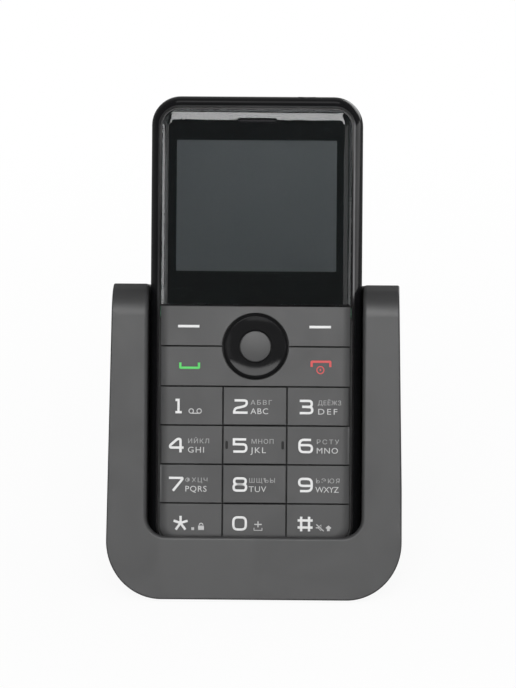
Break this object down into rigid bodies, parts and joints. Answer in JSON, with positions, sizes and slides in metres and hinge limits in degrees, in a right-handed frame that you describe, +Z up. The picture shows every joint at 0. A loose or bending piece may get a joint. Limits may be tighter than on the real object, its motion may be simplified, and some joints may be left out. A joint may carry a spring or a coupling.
{
  "type": "keypad phone in a desk charging cradle",
  "caption": "Slab keypad phone with a black lens, navigation ring and flush grey keys, leaning back in a weighted desk charging cradle.",
  "frame": {"origin": "centre of the overall footprint, on the surface the cradle's feet stand on", "axes": "+Z up; the phone's keys and screen face -Y and lean back 18 degrees; +X is to the right as seen from the front"},
  "size_m": [0.076, 0.06, 0.1222],
  "materials": {
    "housing": "glossy black",
    "trim": "satin",
    "lens": "polished, black border printed on the back",
    "mesh": "woven, dark",
    "inner_plastic": "moulded",
    "display": "unlit screen",
    "board": "lacquered",
    "flex": "smooth film",
    "keys": "satin",
    "ring": "polished",
    "mat": "soft, matt",
    "domes": "polished spring steel",
    "tin": "stamped sheet",
    "battery": "wrapped in dark film",
    "contact_gold": "gold plated",
    "screws": "black finish",
    "cradle": "satin",
    "cradle_base": "moulded, matt",
    "feet": "matt",
    "weight": "plain steel"
  },
  "bodies": {
    "cradle": {"cradle_shell": "cradle", "cradle_base": "cradle_base", "cradle_feet": "feet", "cradle_weight": "weight", "cradle_screws": "screws", "contact_block": "inner_plastic", "contact_barrels": "contact_gold", "contact_springs": "domes", "cradle_board": "board", "cradle_socket": "tin"},
    "phone": {"front_housing": "housing", "rear_housing": "housing", "bezel_trim": "trim", "display_lens": "lens", "earpiece_mesh": "mesh", "earpiece": "inner_plastic", "display_module": "display", "display_frame": "inner_plastic", "main_board": "board", "display_flex": "flex", "keypad_mat": "mat", "dome_sheet": "domes", "shield_cans": "tin", "sim_holder": "tin", "microphone": "tin", "loudspeaker": "inner_plastic", "vibration_motor": "tin", "battery": "battery", "battery_contacts": "inner_plastic", "usb_socket": "tin", "headset_jack": "inner_plastic", "charging_pads": "contact_gold", "antenna": "inner_plastic", "housing_screws": "screws"},
    "key_1": {"key_1": "keys"},
    "key_2": {"key_2": "keys"},
    "key_3": {"key_3": "keys"},
    "key_4": {"key_4": "keys"},
    "key_5": {"key_5": "keys"},
    "key_6": {"key_6": "keys"},
    "key_7": {"key_7": "keys"},
    "key_8": {"key_8": "keys"},
    "key_9": {"key_9": "keys"},
    "key_star": {"key_star": "keys"},
    "key_0": {"key_0": "keys"},
    "key_hash": {"key_hash": "keys"},
    "soft_key_bar": {"soft_key_bar": "keys"},
    "call_key_bar": {"call_key_bar": "keys"},
    "nav_ring": {"nav_ring": "ring"},
    "nav_carrier": {"nav_carrier": "inner_plastic"},
    "ok_key": {"ok_key": "keys"},
    "vibration_weight": {"vibration_weight": "tin"},
    "battery_cover": {"battery_cover": "housing"},
    "contact_pin_left": {"contact_pin_left": "contact_gold"},
    "contact_pin_right": {"contact_pin_right": "contact_gold"}
  },
  "joints": [
    {"name": "phone_lift", "type": "slide", "parent": "cradle", "child": "phone", "axis": [0, 0.309, 0.9511], "range_m": [0, 0.085]},
    {"name": "key_1_press", "type": "slide", "parent": "phone", "child": "key_1", "axis": [0, 0.9511, -0.309], "range_m": [0, 0.0003], "stiffness_N_per_m": 2000},
    {"name": "key_2_press", "type": "slide", "parent": "phone", "child": "key_2", "axis": [0, 0.9511, -0.309], "range_m": [0, 0.0003], "stiffness_N_per_m": 2000},
    {"name": "key_3_press", "type": "slide", "parent": "phone", "child": "key_3", "axis": [0, 0.9511, -0.309], "range_m": [0, 0.0003], "stiffness_N_per_m": 2000},
    {"name": "key_4_press", "type": "slide", "parent": "phone", "child": "key_4", "axis": [0, 0.9511, -0.309], "range_m": [0, 0.0003], "stiffness_N_per_m": 2000},
    {"name": "key_5_press", "type": "slide", "parent": "phone", "child": "key_5", "axis": [0, 0.9511, -0.309], "range_m": [0, 0.0003], "stiffness_N_per_m": 2000},
    {"name": "key_6_press", "type": "slide", "parent": "phone", "child": "key_6", "axis": [0, 0.9511, -0.309], "range_m": [0, 0.0003], "stiffness_N_per_m": 2000},
    {"name": "key_7_press", "type": "slide", "parent": "phone", "child": "key_7", "axis": [0, 0.9511, -0.309], "range_m": [0, 0.0003], "stiffness_N_per_m": 2000},
    {"name": "key_8_press", "type": "slide", "parent": "phone", "child": "key_8", "axis": [0, 0.9511, -0.309], "range_m": [0, 0.0003], "stiffness_N_per_m": 2000},
    {"name": "key_9_press", "type": "slide", "parent": "phone", "child": "key_9", "axis": [0, 0.9511, -0.309], "range_m": [0, 0.0003], "stiffness_N_per_m": 2000},
    {"name": "key_star_press", "type": "slide", "parent": "phone", "child": "key_star", "axis": [0, 0.9511, -0.309], "range_m": [0, 0.0003], "stiffness_N_per_m": 2000},
    {"name": "key_0_press", "type": "slide", "parent": "phone", "child": "key_0", "axis": [0, 0.9511, -0.309], "range_m": [0, 0.0003], "stiffness_N_per_m": 2000},
    {"name": "key_hash_press", "type": "slide", "parent": "phone", "child": "key_hash", "axis": [0, 0.9511, -0.309], "range_m": [0, 0.0003], "stiffness_N_per_m": 2000},
    {"name": "ok_press", "type": "slide", "parent": "phone", "child": "ok_key", "axis": [0, 0.9511, -0.309], "range_m": [0, 0.0003], "stiffness_N_per_m": 2000},
    {"name": "soft_key_rock", "type": "hinge", "parent": "phone", "child": "soft_key_bar", "pos_m": [0, -0.00482, 0.06678], "axis": [0, 0.309, 0.9511], "range_deg": [-0.7, 0.7], "stiffness_Nm_per_rad": 1.5},
    {"name": "call_key_rock", "type": "hinge", "parent": "phone", "child": "call_key_bar", "pos_m": [0, -0.00807, 0.0568], "axis": [0, 0.309, 0.9511], "range_deg": [-0.7, 0.7], "stiffness_Nm_per_rad": 1.5},
    {"name": "ring_up_down", "type": "hinge", "parent": "phone", "child": "nav_carrier", "pos_m": [0, -0.00647, 0.06171], "axis": [1, 0, 0], "range_deg": [-2, 2], "stiffness_Nm_per_rad": 0.3},
    {"name": "ring_left_right", "type": "hinge", "parent": "nav_carrier", "child": "nav_ring", "pos_m": [0, -0.00647, 0.06171], "axis": [0, 0.309, 0.9511], "range_deg": [-2, 2], "stiffness_Nm_per_rad": 0.3},
    {"name": "weight_spin", "type": "hinge", "parent": "phone", "child": "vibration_weight", "pos_m": [-0.015, -0.00949, 0.02846], "axis": [1, 0, 0], "continuous": true},
    {"name": "cover_slide", "type": "slide", "parent": "phone", "child": "battery_cover", "axis": [0, 0.309, 0.9511], "range_m": [0, 0.104]},
    {"name": "pin_left_press", "type": "slide", "parent": "cradle", "child": "contact_pin_left", "axis": [0, -0.309, -0.9511], "range_m": [0, 0.0008], "stiffness_N_per_m": 800},
    {"name": "pin_right_press", "type": "slide", "parent": "cradle", "child": "contact_pin_right", "axis": [0, -0.309, -0.9511], "range_m": [0, 0.0008], "stiffness_N_per_m": 800}
  ]
}
